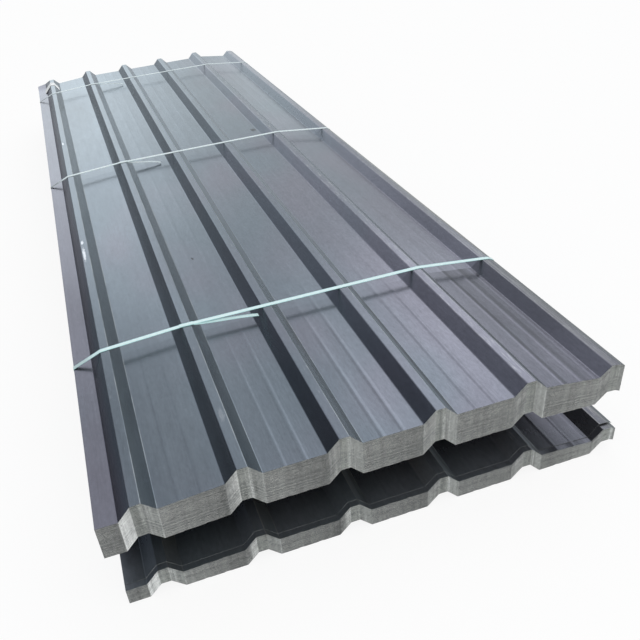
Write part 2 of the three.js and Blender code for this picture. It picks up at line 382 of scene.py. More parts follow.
def finish_material(nodes, **sockets):
    """The Principled shader with its sockets, such as Base_Color, and the output."""
    named = {name.replace("_", " "): value for name, value in sockets.items()}
    shader = nodes.add("ShaderNodeBsdfPrincipled", named)
    nodes.add("ShaderNodeOutputMaterial", {"Surface": shader})


def from_rib(x, first_rib):
    """Signed distance to the axis of the nearest rib."""
    along = (x - first_rib) / PITCH
    return (along - along.rounded()) * PITCH


class OnSheet:
    """Where a point of a sheet's face lies, and the patterns that several layers share. Spans of x and
    y in the layers are in metres: the ribs' axes lie at x = -0.49 to 0.53, 0.205 apart, the near end at
    y = -1.67, the straps at -1.15, 0.08 and 1.35."""

    def __init__(self, nodes, first_rib):
        self.x, self.y = nodes.parts(nodes.here(), "XY")
        self.across = from_rib(self.x, first_rib)
        self.from_last_rib = self.x - (first_rib + LAST_RIB)
        self.crest = self.across.near(0, HALF_CREST, HALF_CREST + 2 * MM)
        self.left_web = self.across.near(-WEB_AXIS, WEB / 2 - 1 * MM, WEB / 2 + 1 * MM)
        self.right_web = self.across.near(WEB_AXIS, WEB / 2 - 1 * MM, WEB / 2 + 1 * MM)
        self.last_crest = self.from_last_rib.step(-13 * MM, -9 * MM)
        self.flat = self.x.step(-0.49, -0.53)
        self.inner = self.x.step(-0.40, -0.28)
        self.past_near = 1 - ((self.y - STRAP_NEAR) / SAG_REACH).limited()
        self.lines = nodes.pattern("lines")
        self.cloud = nodes.pattern("cloud")
        self.grains = nodes.pattern("grains")
        self.mottle = nodes.pattern("mottle")


def slate(nodes, at):
    """The coil coating's colour, which drifts from teal to lilac and is lilac on the left flat."""
    drift = nodes.pattern("drift", (4.0, 1.0, 0))
    blotch = nodes.pattern("blotch", (0, 7.0, 0))
    lilac = at.x * 0.9 + drift + (blotch - 0.5) * 1.1 - 0.30 * at.y.step(-0.6, 0.6)
    lilac = lilac + at.flat * (0.65 + 0.55 * at.y.step(-1.4, -0.6))
    lilac = lilac - 0.35 * at.right_web + 0.7 * at.last_crest
    return nodes.mix(lilac.step(0.15, 0.85), SLATE_TEAL, SLATE_LILAC)


def haze_and_painted_light(at):
    """How bright the coating is: brighter along the lines of rolling and in clouds, which differ at random;
    the rest is painted light and shade by place: lighter past the near strap and towards the far end,
    lighter and darker on the left webs, the left flat and either half, darker on the lip near the front
    and before that strap in the last pan, with painted shade and highlight along lines there."""
    # film: the coating's tone with painted light and shade; only the lines of rolling and the clouds differ
    # at random
    film = 0.78 + 0.05 * at.inner + 0.20 * at.lines + 0.20 * at.cloud + 0.10 * at.y.step(-1.7, 0.8)
    film = film + at.flat * (0.07 - 0.25 * at.y.step(-1.25, -0.85))
    behind_strap = at.past_near * at.past_near * (at.y > STRAP_NEAR) * at.inner
    film = film + (0.12 + 0.20 * at.x.step(0.24, 0.34)) * behind_strap
    film = film + 0.17 * at.inner * at.x.step(0.24, 0.02) * at.y.step(-0.3, 1.1)
    film = film + 0.13 * at.y.step(1.30, 1.45) + 0.18 * (1 - at.flat) * at.y.step(1.08, 1.27)
    film = film - 0.17 * at.left_web * at.inner * at.x.step(0.06, 0.0) * at.y.step(-0.4, -1.0)
    midway = at.y.step(-0.95, -0.6) * at.y.step(0.5, 0.0)
    film = film + 0.18 * at.left_web * at.x.step(0.0, 0.12) * midway
    film = film - 0.20 * at.from_last_rib.step(2 * MM, 9 * MM) * at.y.step(-1.12, -1.28)
    before_strap = at.y < STRAP_NEAR
    film = film - 0.27 * at.x.step(0.33, 0.44) * at.y.step(-1.64, -1.40) * before_strap
    last_pan = at.x.step(0.35, 0.37) * before_strap
    # painted shade and highlight along lines in the last pan
    for place, inside, outside, tone in CREASE_SHADING:
        film = film + tone * last_pan * at.across.near(place, inside, outside)
    return film


def speckle(nodes, at):
    """Grain and mottle of the coating, finer worn towards the far end."""
    worn = nodes.pattern("worn")
    grain = (at.grains - 0.5) * (0.34 + 0.30 * at.x.step(-0.2, 0.4)) + (at.mottle - 0.5) * 0.26
    return (1 + grain) * (1 + (worn - 0.5) * 0.30 * at.y.step(-0.7, 0.4))


def dust_and_painted_light(at, near_end, dusty):
    """All the dust with painted light: clouds of dust, dust and painted light on the right webs and on the
    last rib's left one, and the part of it that lies behind the near end, which is dust and painted light
    too."""
    # dust and painted light on the right webs and on the last rib's left web
    webs = at.right_web * at.x.step(-0.35, 0.12) * (0.50 + 0.30 * at.y.step(-1.1, -0.5))
    last_web = at.from_last_rib.step(-HALF_FOOT - 1 * MM, -HALF_FOOT + 1 * MM)
    last_web = last_web * at.across.step(-HALF_CREST + 1 * MM, -HALF_CREST - 1 * MM)
    webs = webs + last_web * (0.10 + 0.28 * at.y.step(-0.9, 0.6))
    # dust and painted light behind the near end
    near_end_dust_and_light = dusty * at.y.step(near_end + DUST_AND_LIGHT_REACH, near_end) * (0.6 + 0.8 * at.grains)
    near_end_dust_and_light = near_end_dust_and_light * (1 - 0.65 * at.x.step(0.28, 0.46))
    clouds = at.cloud.step(0.45, 0.85) * 0.10 + at.grains.step(0.62, 0.80) * 0.05
    return clouds.at_least(webs).at_least(near_end_dust_and_light), near_end_dust_and_light


def bend_highlights_and_scuffs(nodes, at):
    """Painted highlights along the right-hand bend of each crest and foot, in a steel colour, and scuffs
    along the crests.
    """
    wear = nodes.pattern("wear")
    painted_bend_highlights = 0.26 * at.across.near(HALF_CREST, 0.6 * MM, 1.8 * MM)
    painted_bend_highlights = painted_bend_highlights + 0.20 * at.across.near(HALF_FOOT, 0.6 * MM, 1.8 * MM)
    painted_bend_highlights = painted_bend_highlights * wear.step(0.36, 0.66) * (1 - 0.9 * at.x.step(-0.1, 0.1) * at.y.step(-1.2, -0.6))
    rubs = nodes.pattern("rubs")
    scuffs = 0.35 * rubs.step(0.66, 0.76) + 0.15 * rubs.step(0.50, 0.66) * at.x.step(0.2, 0.3)
    return painted_bend_highlights.at_least(at.crest * scuffs)


def foot_shade(at):
    """Painted shade at the foot of the right webs, near the front."""
    feet = at.across.near(HALF_FOOT - 7 * MM, 4 * MM, 9 * MM)
    feet = feet * at.x.step(-0.12, 0.0) * at.y.step(-0.95, -1.35)
    return 0.60 * feet * (0.35 + 0.65 * at.mottle.step(0.30, 0.60))


def worn_lip(at):
    """Wear on the lip, most of all between the near and the middle strap, and on the last crest."""
    midway = at.y.step(-1.2, -0.95) * at.y.step(0.4, 0.0)
    lip = at.from_last_rib.step(LIP_END - 16 * MM, LIP_END - 7 * MM)
    lip = lip * at.lines.step(0.42 - 0.14 * midway, 0.56) * (0.30 + 0.48 * midway)
    crest = 0.28 * at.last_crest * at.lines.step(0.38, 0.62) * at.y.step(-0.2, -0.7)
    return lip.at_least(crest)


def spot(at, place, ragged):
    """1 inside a small oval with a ragged rim."""
    middle_x, middle_y, half_width, half_length = (size * MM for size in place)
    across = (at.x - middle_x) / half_width
    along = (at.y - middle_y) / half_length
    return (across * across + along * along + 2.7 * ragged).step(2.2, 1.5)


def sagging(nodes, at):
    """The normal of a sheet that hangs between its straps, with slow waves and the fine grooves of
    rolling."""
    before_middle = 1 - ((STRAP_MIDDLE - at.y) / SAG_REACH).limited()
    sag = at.past_near * at.past_near * SAG_NEAR + before_middle * before_middle * SAG_MIDDLE
    web_foot = (FLATTENED_RIB - RIBS) * PITCH - HALF_FOOT
    sag = sag - FLATTENED * ((at.from_last_rib - web_foot) / WEB).limited()
    hung = nodes.bump(sag, 1.0, 1.0)
    waves = nodes.bump(nodes.pattern("waves"), 0.4 * MM, 0.6, Normal=hung)
    return nodes.bump(at.lines, 0.02 * MM, 0.5, Normal=waves)


def painted_steel(name, first_rib, near_end, shade=1.0, dusty=0.0):
    """Slate coil coating with a metallic gloss, its tone with painted light and shade, under dust with
    painted light, painted highlights where the ribs bend, scuffed steel, painted shade at the feet of the
    right webs and a worn lip, with a few marks. As far as the sheet is dusty, dust and painted light lie
    behind its near end."""
    material, nodes = new_material(name)
    at = OnSheet(nodes, first_rib)
    # dust: dust together with painted light, which lightens the right webs and the near end
    dust, near_end_dust_and_light = dust_and_painted_light(at, near_end, dusty)
    # the coating's tone, with the painted light and shade of the haze
    paint = nodes.scaled(slate(nodes, at), haze_and_painted_light(at) * speckle(nodes, at) * shade)
    paint = nodes.mix(dust, paint, DUST_AND_LIGHT_GREY)
    # painted highlights along the bends, and scuffs, in the colour of steel
    paint = nodes.mix(bend_highlights_and_scuffs(nodes, at), paint, STEEL)
    # painted shade at the foot of the right webs
    paint = nodes.scaled(paint, 1 - foot_shade(at))
    paint = nodes.mix(worn_lip(at), paint, WORN_LIP)
    ragged = nodes.pattern("ragged")
    for *place, strength in RUB_MARKS:
        paint = nodes.mix(at.crest * spot(at, place, ragged) * strength, paint, RUBBED_WHITE)
    for place in STAINS:
        paint = nodes.scaled(paint, 1 - 0.8 * spot(at, place, ragged))
    finish_material(nodes, Base_Color=paint, Normal=sagging(nodes, at), Metallic=0.89 - 0.5 * dust,
                    Roughness=0.22 + 0.04 * at.grains + 0.10 * dust + 0.3 * near_end_dust_and_light)
    return material


def cut_edge(name, first_rib, shade=1.0):
    """The sheared ends of the sheets: bare steel with painted light and shade, lightest on the left webs of
    the first ribs, with painted highlights where the ribs bend, painted shading across the pans and up the
    left webs of the second and third ribs, upright drag lines and a slight difference from sheet to sheet."""
    material, nodes = new_material(name)
    x, z = nodes.parts(nodes.here(), "XZ")
    across = from_rib(x, first_rib)
    rib = (x - first_rib) / PITCH
    on_rib = across.near(0, HALF_FOOT - 1 * MM, HALF_FOOT + 1 * MM)
    left_web = on_rib * across.step(-HALF_CREST + 0.5 * MM, -HALF_CREST - 1.5 * MM)
    right_web = on_rib * across.step(HALF_CREST - 0.5 * MM, HALF_CREST + 1.5 * MM)

    fold = RIB_DEPTH * (1 - ((abs(across) - HALF_CREST) / WEB).limited())
    within = nodes.add("ShaderNodeCombineXYZ", [x * 26, 0, (z - fold) * 270])
    layers = nodes.noise(within, 2.0, 0.6)
    specks = nodes.pattern("specks")
    drag = nodes.pattern("drag")
    broad = nodes.pattern("broad drag")
    patches = nodes.pattern("patches")

    # painted light and shade: each part of the profile gets its own tone of one steel, the first ribs' left
    # webs painted light
    steel = nodes.mix(on_rib, EDGE_PAN, EDGE_CREST)
    steel = nodes.mix(right_web, steel, EDGE_RIGHT)
    steel = nodes.mix(left_web, steel, nodes.mix(rib.step(-0.3, 2.0), EDGE_BRIGHT, EDGE_LEFT))
    steel = nodes.mix(patches.step(0.40, 0.80) * 0.08, steel, STEEL)
    # painted highlights along the bends of the ends, and bright drag streaks beside the crests
    foot_line = across.near(HALF_FOOT, 0.8 * MM, 2.0 * MM)
    crest_line = across.near(HALF_CREST, 0.5 * MM, 1.5 * MM)
    shoulder = across.near(13 * MM, 3 * MM, 12 * MM) * drag.step(0.48, 0.60) * 0.34
    edge_bend_highlights = (foot_line * 0.5 + crest_line * 0.35) * broad.step(0.35, 0.60)
    steel = nodes.mix(edge_bend_highlights.at_least(shoulder), steel, EDGE_BRIGHT)

    worn = 1 + 0.08 * (nodes.attribute("tone") - 0.5) + 0.28 * (layers - 0.5) + 1.15 * (specks - 0.5)
    worn = worn + (drag - 0.5) * (0.70 + 0.75 * on_rib) + 0.35 * (broad - 0.5)
    # painted shading across each pan and up the left webs of the second and third ribs
    pan_share = (rib - rib.rounded() + (rib < rib.rounded())) * PITCH / PAN
    pan_shading = (0.36 - 0.64 * rib.step(2.5, 5.0)) * (1 - on_rib) * (0.60 - pan_share)
    up_web = ((across + HALF_FOOT) / WEB).limited()
    left_web_shading = rib.step(0.5, 0.7) * rib.step(2.8, 2.2) * left_web * (up_web * 0.75 - 0.45)
    steel = nodes.scaled(steel, (worn + pan_shading + left_web_shading) * shade)
    finish_material(nodes, Base_Color=steel, Roughness=0.42, Metallic=0.35)
    return material


def back_coat():
    """The grey backing coat of the sheets' undersides."""
    material, nodes = new_material("back coat")
    cloud = nodes.pattern("back cloud")
    lines = nodes.pattern("back lines")
    coat = nodes.mix(cloud, BACK_DARK, BACK_LIGHT)
    finish_material(nodes, Base_Color=nodes.scaled(coat, 0.9 + 0.2 * lines), Roughness=0.5)
    return material


def strapping():
    """Pale mint polymer strap, embossed with small diamonds, with a painted highlight along its middle, a
    little milky on the straps past the near one and lighter where worn, and painted shade over the left
    side."""
    material, nodes = new_material("strapping")
    along = nodes.attribute("along")
    across = nodes.attribute("across")
    x, y = nodes.parts(nodes.here(), "XY")
    wear = nodes.pattern("strap wear")
    worn = wear.step(0.4, 0.7)
    core_highlight = across.near(0, 2.6 * MM, 6.1 * MM)
    # painted highlight along the strap's middle
    mint = nodes.mix(core_highlight * 0.8 + 0.2 * worn, MINT_RIM, MINT_HIGHLIGHT)
    past_near = y.step(-0.9, -0.1)
    mint = nodes.mix(past_near, mint, nodes.mix(worn, MILKY_DARK, MILKY_LIGHT))
    # painted shade where the strap goes over the left side
    mint = nodes.scaled(mint, 1 - x.step(-0.515, -0.545) * (0.25 + 0.30 * past_near))
    turns = TURN / DIAMOND
    diamonds = ((along + across) * turns).sine() * ((along - across) * turns).sine()
    finish_material(nodes, Base_Color=mint, Roughness=0.32 + 0.12 * wear,
                    Normal=nodes.bump(diamonds, 0.08 * MM, 0.5))
    return material


def pale_strip():
    """A strip of white film, creased where it goes over the rib."""
    material, nodes = new_material("pale strip")
    creases = nodes.pattern("film creases")
    film = nodes.mix(creases.step(0.35, 0.7), STRIP_DARK, STRIP_LIGHT)
    finish_material(nodes, Base_Color=film, Roughness=0.3 + 0.2 * creases,
                    Normal=nodes.bump(creases, 0.3 * MM, 0.6))
    return material


def sawn_timber():
    """Rough-sawn softwood: growth rings about a pith off to one side, saw marks and a grey skin."""
    material, nodes = new_material("sawn timber")
    place = nodes.attribute("own_place", "Vector")
    x, y, z = nodes.parts(place)
    wobble = nodes.noise(nodes.stretched(place, (2.0, 14, 14)))
    from_pith = ((y + 0.02) ** 2.0 + (z + 0.07) ** 2.0) ** 0.5 + 0.012 * wobble + 0.004 * x
    rings = (from_pith * (TURN / GROWTH_RING)).sine()
    grain = nodes.noise(nodes.stretched(place, (12, 420, 420)), 3.0, 0.6)
    wood = nodes.mix(rings.step(-0.2, 1.0), WOOD_EARLY, WOOD_LATE)
    wood = nodes.mix(nodes.pattern("grey skin").step(0.4, 0.7) * 0.45, wood, WOOD_GREY)
    saw = nodes.noise(nodes.stretched(place, (330, 12, 12), Rotation=(0, 0.16, 0.16)))
    finish_material(nodes, Base_Color=nodes.scaled(wood, 0.70 + 0.55 * grain),
                    Roughness=0.72 + 0.15 * grain, Normal=nodes.bump(saw + grain, 0.5 * MM, 0.6))
    return material


# ---- the sheet's section ----
def bent(corner, before, after, steps, support):
    """The corner as a bend, with a point of support on the flat at both sides."""
    to_before = (before - corner).normalized()
    to_after = (after - corner).normalized()
    reach = BEND_RADIUS / math.tan(to_before.angle(to_after) / 2)
    start = corner + to_before * reach
    end = corner + to_after * reach
    points = []
    if support:
        points.append(start + to_before * support)
    for i in range(steps + 1):
        share = i / steps
        points.append(start.lerp(corner, share).lerp(corner.lerp(end, share), share))
    if support:
        points.append(end + to_after * support)
    return points


def rib_corners(index):
    """A rib's corners, between a point on the pan before it and one after it."""
    corners = [(-PITCH / 2, 0), (-HALF_FOOT, 0), (-HALF_CREST, RIB_DEPTH), (HALF_CREST, RIB_DEPTH)]
    if index == RIBS - 1:
        corners.append((LIP_END, RIB_DEPTH - LIP_DROP))
    else:
        corners += [(HALF_FOOT, 0), (PITCH / 2, 0)]
    return [Vector((index * PITCH + x, z)) for x, z in corners]


def stiffener_points(pan_start, support, soft):
    """A pan's stiffeners: four corners each on a nested sheet, a soft wave on a topmost one."""
    foot, crest = STIFFENER_FOOT / 2, STIFFENER_CREST / 2
    shape = [(-foot, 0), (-crest, STIFFENER_DEPTH), (crest, STIFFENER_DEPTH), (foot, 0)]
    if support:
        shares = [2 * step / STIFFENER_STEPS - 1 for step in range(STIFFENER_STEPS + 1)]
        shape = [(share * (foot + support), STIFFENER_DEPTH * soft * (1 + math.cos(math.pi * share)) / 2)
                 for share in shares]
    axes = [pan_start + PAN * i / (STIFFENERS_PER_PAN + 1) for i in range(1, STIFFENERS_PER_PAN + 1)]
    return [Vector((axis + x, z)) for axis in axes for x, z in shape]


def section_line(steps, support=0.0, soft=STIFFENER_SOFT):
    """The top face of a sheet from its left edge to its lip, measured from the first rib's axis."""
    line = [Vector((SHEET_LEFT, 0))]
    for index in range(RIBS):
        corners = rib_corners(index)
        for before, corner, after in zip(corners, corners[1:], corners[2:]):
            line += bent(corner, before, after, steps, support)
        if index == RIBS - 1:
            line.append(corners[-1])
        else:
            line += stiffener_points(index * PITCH + HALF_FOOT, support, soft)
    return line


def underface(line):
    """The line moved down square to itself by the gauge."""
    runs = [(b - a).normalized() for a, b in zip(line, line[1:])]
    normals = [Vector((run.y, -run.x)) for run in runs]
    under = []
    for i, place in enumerate(line):
        before = normals[max(0, i - 1)]
        after = normals[min(len(normals) - 1, i)]
        mitre = (before + after).normalized()
        under.append(place + mitre * (GAUGE / mitre.dot(after)))
    return under


TOP_FACE, CUT_FACE, UNDER_FACE = 0, 1, 2


def sheet_object(name, ends, detail):
    """One closed sheet, its faces marked by kind, its stiffeners faint past the near strap."""
    low_y, high_y = (corner.y for corner in ends)
    runs, steps, support = detail
    near_line = section_line(steps, support)
    far_line = section_line(steps, support, STIFFENER_FAINT)
    count = len(near_line)
    verts = []
    for s in range(runs + 1):
        y = low_y + (high_y - low_y) * s / runs
        past = limited(0.5 + (y - STRAP_NEAR) / FADE_REACH)
        here = [a.lerp(b, past) for a, b in zip(near_line, far_line)]
        verts += [(p.x, y, p.y) for p in here + underface(here)]

    def top(s, i):
        return 2 * count * s + i

    def low(s, i):
        return top(s, i) + count

    right = count - 1
    faces, kinds = [], []
    for s in range(runs):
        for i in range(right):
            faces.append((top(s, i), top(s, i + 1), top(s + 1, i + 1), top(s + 1, i)))
            faces.append((low(s + 1, i), low(s + 1, i + 1), low(s, i + 1), low(s, i)))
            kinds += [TOP_FACE, UNDER_FACE]
        faces.append((top(s, 0), top(s + 1, 0), low(s + 1, 0), low(s, 0)))
        faces.append((low(s, right), low(s + 1, right), top(s + 1, right), top(s, right)))
        kinds += [CUT_FACE, CUT_FACE]
    for i in range(right):
        faces.append((top(0, i), low(0, i), low(0, i + 1), top(0, i + 1)))
        faces.append((top(runs, i + 1), low(runs, i + 1), low(runs, i), top(runs, i)))
        kinds += [CUT_FACE, CUT_FACE]
    mesh = bpy.data.meshes.new(name)
    mesh.from_pydata(verts, [], faces)
    mesh.attributes.new("kind", "INT", "FACE").data.foreach_set("value", kinds)
    mesh.shade_smooth()
    mesh.set_sharp_from_angle(angle=math.radians(35))
    return new_object(name, mesh)


# ---- packs of sheets ----
def nesting_tree():
    """Stacks copies of one sheet, lets their edges hang and staggers their ends a little."""
    tree, nodes, value = geometry_tree("nested sheets", {
        "Sheet": "Geometry", "Sheets": "Int", "First Rib": "Float", "Lowest Level": "Float",
        "Nest Pitch": "Float", "Low Droop Left": "Float", "Low Droop Right": "Float",
        "High Droop Left": "Float", "High Droop Right": "Float", "Stagger": "Float", "Seed": "Int",
        "Paint": "Material", "Cut Edge": "Material", "Back Coat": "Material"}, "Pack")

    start = nodes.add("ShaderNodeCombineXYZ", {"X": value["First Rib"], "Z": value["Lowest Level"]})
    step = nodes.add("ShaderNodeCombineXYZ", {"Z": value["Nest Pitch"]})
    places = nodes.add("GeometryNodeMeshLine",
                       {"Count": value["Sheets"], "Start Location": start, "Offset": step}, mode="OFFSET")
    copies = nodes.add("GeometryNodeInstanceOnPoints", {"Points": places, "Instance": value["Sheet"]})
    copies = nodes.stored(copies, "sheet", nodes.add("GeometryNodeInputIndex"), "INSTANCE")
    pack = nodes.add("GeometryNodeRealizeInstances", {"Geometry": copies})

    sheet = nodes.add("GeometryNodeInputNamedAttribute", {"Name": "sheet"}, data_type="FLOAT")
    x = nodes.parts(nodes.add("GeometryNodeInputPosition"), "X")[0] - value["First Rib"]
    share = sheet / (value["Sheets"] - 1).at_least(1)
    droop = 0
    for side, out in (("Left", DROOPS_BEFORE - x), ("Right", x - DROOPS_AFTER)):
        low, high = value[f"Low Droop {side}"], value[f"High Droop {side}"]
        droop = droop + (low + share * (high - low)) * (out / PITCH).limited()
    chance = nodes.add("FunctionNodeRandomValue",
                       {2: -1.0, 3: 1.0, "ID": sheet, "Seed": value["Seed"]}, out=1, data_type="FLOAT")
    slide = chance * chance * chance * value["Stagger"]
    move = nodes.add("ShaderNodeCombineXYZ", {"Y": slide, "Z": 0 - droop})
    pack = nodes.add("GeometryNodeSetPosition", {"Geometry": pack, "Offset": move})
    tone = nodes.add("FunctionNodeRandomValue",
                     {2: 0.0, 3: 1.0, "ID": sheet, "Seed": value["Seed"] + 7}, out=1, data_type="FLOAT")
    pack = nodes.stored(pack, "tone", tone)

    kind = nodes.add("GeometryNodeInputNamedAttribute", {"Name": "kind"}, data_type="INT")
    pack = nodes.add("GeometryNodeSetMaterial", {"Geometry": pack, "Material": value["Paint"]})
    for name, code in (("Cut Edge", CUT_FACE), ("Back Coat", UNDER_FACE)):
        chosen = nodes.add("FunctionNodeCompare", {2: kind, 3: code}, data_type="INT", operation="EQUAL")
        pack = nodes.add("GeometryNodeSetMaterial",
                         {"Geometry": pack, "Selection": chosen, "Material": value[name]})
    nodes.add("NodeGroupOutput", [pack])
    return tree


def build_pack(tree, name, ends, sheets, first_rib, levels, droops, seed, materials):
    """A pack of nested sheets, or one topmost sheet, between two levels of the sheets' top faces."""
    paint, edge, under = materials
    lowest, highest = levels
    (low_left, low_right), (high_left, high_right) = droops
    single = sheets == 1
    sheet = sheet_object(name, ends, TOPMOST if single else NESTED)
    return processed(sheet, tree, Sheets=sheets, First_Rib=first_rib, Lowest_Level=lowest,
                     Nest_Pitch=(highest - lowest) / max(1, sheets - 1),
                     Low_Droop_Left=low_left, Low_Droop_Right=low_right,
                     High_Droop_Left=high_left, High_Droop_Right=high_right,
                     Stagger=0.0 if single else STAGGER, Seed=seed,
                     Paint=paint, Cut_Edge=edge, Back_Coat=under)


def hand_over(piece, slot, *replaced):
    """Gives a finished piece its body and hides the nodes that it stands for; the slot is not used."""
    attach(piece, "root")
    if replaced:
        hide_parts(*replaced)


def lift_corner(sheet):
    """Raises the lower top sheet's near end over its last rib, where it stands off the pack."""
    foot = LOWER_FIRST_RIB + LAST_RIB - HALF_FOOT
    near = min(vertex.co.y for vertex in sheet.data.vertices)
    for vertex in sheet.data.vertices:
        over = limited((vertex.co.x - foot) / WEB)
        back = min(1, (vertex.co.y - near) / LIP_LIFT_REACH)
        vertex.co.z += LIP_LIFT * over * (1 - back) ** 2


def curl_corner(piece):
    """Bends the upper top sheet's far left corner up, most of all at the first rib's foot."""
    for vertex in piece.data.vertices:
        from_crest = UPPER_FIRST_RIB - HALF_CREST - vertex.co.x
        over = limited(from_crest / WEB)
        out = limited((from_crest - WEB) / LEFT_FLAT)
        back = max(0, 1 - (UPPER_HIGH.y - vertex.co.y) / CURL_REACH)
        vertex.co.z += CURL * over * (1 - CURL_LOST * out) * back ** 1.5


def build_sheets():
    tree = nesting_tree()
    under = back_coat()
    upper_edge = cut_edge("cut edge", UPPER_FIRST_RIB)
    # lighter and darker copies of the cut edge: painted light and shade
    lower_edge = cut_edge("lower cut edge", LOWER_FIRST_RIB, LOWER_EDGE_SHADE)
    shaded_edge = cut_edge("shaded cut edge", LOWER_FIRST_RIB, TOP_EDGE_SHADE)
    upper_paint = painted_steel("painted steel", UPPER_FIRST_RIB, UPPER_LOW.y)
    lower_paint = painted_steel("dusty painted steel", LOWER_FIRST_RIB, LOWER_LOW.y, LOWER_SHADE, NEAR_END_DUST_AND_LIGHT)
    covered = painted_steel("covered painted steel", LOWER_FIRST_RIB, LOWER_LOW.y, COVERED_SHADE, NEAR_END_DUST_AND_LIGHT)

    packs = (
        ("upper", UPPER_SHEETS, UPPER_FIRST_RIB, UPPER_UNDERSIDE, UPPER_TOP, UPPER_DROOP, 3,
         upper_edge, upper_paint, upper_edge, curl_corner),
        ("lower", LOWER_SHEETS, LOWER_FIRST_RIB, 0.0, LOWER_TOP, LOWER_DROOP, 5,
         lower_edge, lower_paint, shaded_edge, lift_corner),
    )
    for place, sheets, first_rib, underside, level, droop, seed, edge, paint, top_edge, bend in packs:
        nested = build_pack(tree, f"{place}_nested_sheets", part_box(f"{place}_sheets"), sheets - 1,
                            first_rib, (underside + GAUGE, level - TOP_SHEET_SEAT), droop, seed,
                            (covered, edge, under))
        hand_over(nested, "nested_sheets", f"{place}_sheets")
        top = build_pack(tree, f"{place}_top_skin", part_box(f"{place}_top_sheet"), 1, first_rib,
                         (level, level), (droop[1], droop[1]), 1, (paint, top_edge, under))
        bend(top)
        hand_over(top, "painted_sheet", f"{place}_top_sheet")


# ---- straps ----
def at_level(line, level, droop):
    """A section line at a level of the upper pack, with its edges hanging."""
    left, right = droop
    placed = []
    for p in line:
        hang = left * limited((DROOPS_BEFORE - p.x) / PITCH) + right * limited((p.x - DROOPS_AFTER) / PITCH)
        placed.append(Vector((p.x, level + p.y - hang)))
    return placed


def outwards(loop, distance):
    """A closed convex outline, anticlockwise, moved outwards."""
    moved = []
    for i, place in enumerate(loop):
        before = (place - loop[i - 1]).normalized()
        after = (loop[(i + 1) % len(loop)] - place).normalized()
        normal = Vector((before.y + after.y, -before.x - after.x)).normalized()
        moved.append(place + normal * (distance / (normal.x * after.y - normal.y * after.x)))
    return moved


def strap_loop():
    """The middle of a tight strap's thickness, round the upper pack."""
    line = section_line(4)
    around = at_level(line, UPPER_TOP, UPPER_DROOP[1]) + at_level(line, UPPER_UNDERSIDE, UPPER_DROOP[0])
    hull = [around[i] for i in convex_hull_2d(around)]
    area = sum(a.x * b.y - b.x * a.y for a, b in zip(hull, hull[1:] + hull[:1]))
    if area < 0:
        hull.reverse()
    return outwards(hull, CLEARANCE + STRAP_THICKNESS / 2)


def tail_path(reach, end_height, skew, y):
    """The free inner end: out from under the weld and down towards the pan."""
    start = Vector((STRAP_WELD / 2, UPPER_HIGH.z + CLEARANCE + STRAP_THICKNESS / 2))
    end = Vector((reach, UPPER_TOP + end_height))
    first, second = (start + (end - start) * Vector(shares) for shares in TAIL_HANDLES)
    turn = math.radians(-skew)
    return [Vector((UPPER_FIRST_RIB + WELD_AXIS + p.x * math.cos(turn), y + p.x * math.sin(turn), p.y))
            for p in interpolate_bezier(start, first, second, end, TAIL_POINTS + 1)]


def band_tree():
    """Draws a flat band with rounded edges along each path."""
    tree, nodes, value = geometry_tree("band along a path", {
        "Paths": "Geometry", "Width": "Float", "Thickness": "Float", "Edge": "Float",
        "Finish": "Material"}, "Bands")
    path = nodes.add("GeometryNodeMeshToCurve", [value["Paths"]])
    path = nodes.add("GeometryNodeSetCurveNormal", {"Curve": path, "Normal": (0, 1, 0)}, mode="FREE")
    path = nodes.stored(path, "along", nodes.add("GeometryNodeSplineParameter", out="Length"))
    profile = nodes.add("GeometryNodeCurvePrimitiveQuadrilateral",
                        {"Width": value["Width"], "Height": value["Thickness"]})
    profile = nodes.add("GeometryNodeFilletCurve", {"Curve": profile, "Radius": value["Edge"], "Count": 2},
                        mode="POLY")
    across = nodes.parts(nodes.add("GeometryNodeInputPosition"), "X")[0]
    profile = nodes.stored(profile, "across", across)
    band = nodes.add("GeometryNodeCurveToMesh",
                     {"Curve": path, "Profile Curve": profile, "Fill Caps": True})
    band = nodes.add("GeometryNodeRealizeInstances", {"Geometry": band})
    band = nodes.add("GeometryNodeSetMaterial", {"Geometry": band, "Material": value["Finish"]})
    nodes.add("NodeGroupOutput", [band])
    return tree


def paths_object(name, paths):
    """One object of bare edges: each path is a list of places and whether it closes."""
    verts, edges = [], []
    for places, closed in paths:
        first = len(verts)
        verts += places
        edges += [(i, i + 1) for i in range(first, len(verts) - 1)]
        if closed:
            edges.append((len(verts) - 1, first))
    mesh = bpy.data.meshes.new(name)
    mesh.from_pydata(verts, edges, [])
    return new_object(name, mesh)


def build_straps():
    tree = band_tree()
    polymer = strapping()
    loop = strap_loop()
    level = UPPER_HIGH.z + CLEARANCE + STRAP_THICKNESS * 1.5
    for place, (reach, end_height, skew) in TAILS.items():
        nearer, per_metre = STRAP_SKEW[place]
        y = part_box(f"strap_{place}")[1].y - STRAP_WIDTH / 2 - nearer
        at_weld = y - WELD_AXIS * per_metre
        around = [Vector((UPPER_FIRST_RIB + p.x, y - p.x * per_metre, p.y)) for p in loop]
        weld = [Vector((UPPER_FIRST_RIB + WELD_AXIS + side * STRAP_WELD / 2, at_weld, level))
                for side in (-1, -0.5, 0, 0.5, 1)]
        tail = tail_path(reach, end_height, skew, at_weld)
        strap = paths_object(f"{place}_strap", [(around, True), (weld, False), (tail, False)])
        processed(strap, tree, Width=STRAP_WIDTH, Thickness=STRAP_THICKNESS, Edge=STRAP_EDGE,
                  Finish=polymer)
        strap.data.shade_smooth()
        strap.data.set_sharp_from_angle(angle=math.radians(50))
        hand_over(strap, "strap", f"strap_{place}")


